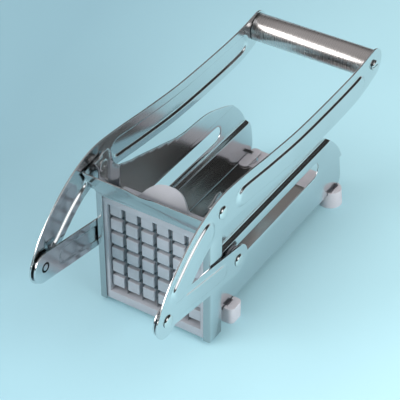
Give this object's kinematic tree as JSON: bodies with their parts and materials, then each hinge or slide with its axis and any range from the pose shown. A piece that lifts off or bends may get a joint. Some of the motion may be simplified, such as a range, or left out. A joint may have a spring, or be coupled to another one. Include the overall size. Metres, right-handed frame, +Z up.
{
  "type": "french fry cutter",
  "caption": "Lever press that pushes a potato through a square blade grid, with a steel U body, a swinging handle, links and a sliding finger block",
  "frame": {"origin": "On the surface that the feet stand on, under the centre of the bounding box, with the handle lowered", "axes": "+Y runs from the blade grid to the rear, +X is to the right seen from the front, +Z is up"},
  "size_m": [0.0992, 0.2856, 0.1229],
  "materials": {
    "polished_steel": "polished stainless sheet",
    "blade_steel": "fine ground",
    "rivet_steel": "polished",
    "gray_plastic": "moulded, satin",
    "pale_plastic": "moulded, satin"
  },
  "bodies": {
    "body": {"side_plate_right": "polished_steel", "side_plate_left": "polished_steel", "floor_plate": "polished_steel", "front_frame": "polished_steel", "blade_frame": "gray_plastic", "blade_upright_1": "blade_steel", "blade_upright_2": "blade_steel", "blade_upright_3": "blade_steel", "blade_upright_4": "blade_steel", "blade_upright_5": "blade_steel", "blade_level_1": "blade_steel", "blade_level_2": "blade_steel", "blade_level_3": "blade_steel", "blade_level_4": "blade_steel", "blade_level_5": "blade_steel", "front_foot_right": "pale_plastic", "front_foot_left": "pale_plastic", "rear_foot_right": "pale_plastic", "rear_foot_left": "pale_plastic", "rear_bridge": "pale_plastic", "pivot_rivet_right": "rivet_steel", "pivot_rivet_left": "rivet_steel", "pivot_spacer_right": "rivet_steel", "pivot_spacer_left": "rivet_steel"},
    "lever": {"lever_arm_right": "polished_steel", "lever_arm_left": "polished_steel", "handle_tube": "polished_steel", "handle_plug_right": "gray_plastic", "handle_plug_left": "gray_plastic", "handle_screw_right": "rivet_steel", "handle_screw_left": "rivet_steel", "pin_rivet_right": "rivet_steel", "pin_rivet_left": "rivet_steel", "pin_spacer_right": "rivet_steel", "pin_spacer_left": "rivet_steel"},
    "links": {"link_right": "polished_steel", "link_left": "polished_steel", "link_rivet_right": "rivet_steel", "link_rivet_left": "rivet_steel"},
    "pusher": {"pusher_block": "gray_plastic", "pusher_carriage": "gray_plastic", "pusher_axle": "rivet_steel", "slide_bush_right": "pale_plastic", "slide_bush_left": "pale_plastic", "pusher_screw_1": "rivet_steel", "pusher_screw_2": "rivet_steel", "pusher_screw_3": "rivet_steel", "pusher_screw_4": "rivet_steel"}
  },
  "joints": [
    {"name": "lever_swing", "type": "hinge", "parent": "body", "child": "lever", "pos_m": [0, -0.06877, 0.1093], "axis": [1, 0, 0], "range_deg": [0, 92.4]},
    {"name": "links_swing", "type": "hinge", "parent": "lever", "child": "links", "pos_m": [0, -0.13077, 0.0678], "axis": [1, 0, 0], "range_deg": [-80.4, 0]},
    {"name": "pusher_slide", "type": "slide", "parent": "body", "child": "pusher", "axis": [0, 1, 0], "range_m": [0, 0.1076]}
  ],
  "couplings": [
    {"joint": "links_swing", "follows": "lever_swing", "ratio": -0.868},
    {"joint": "pusher_slide", "follows": "lever_swing", "m_per_rad": 0.0666}
  ]
}
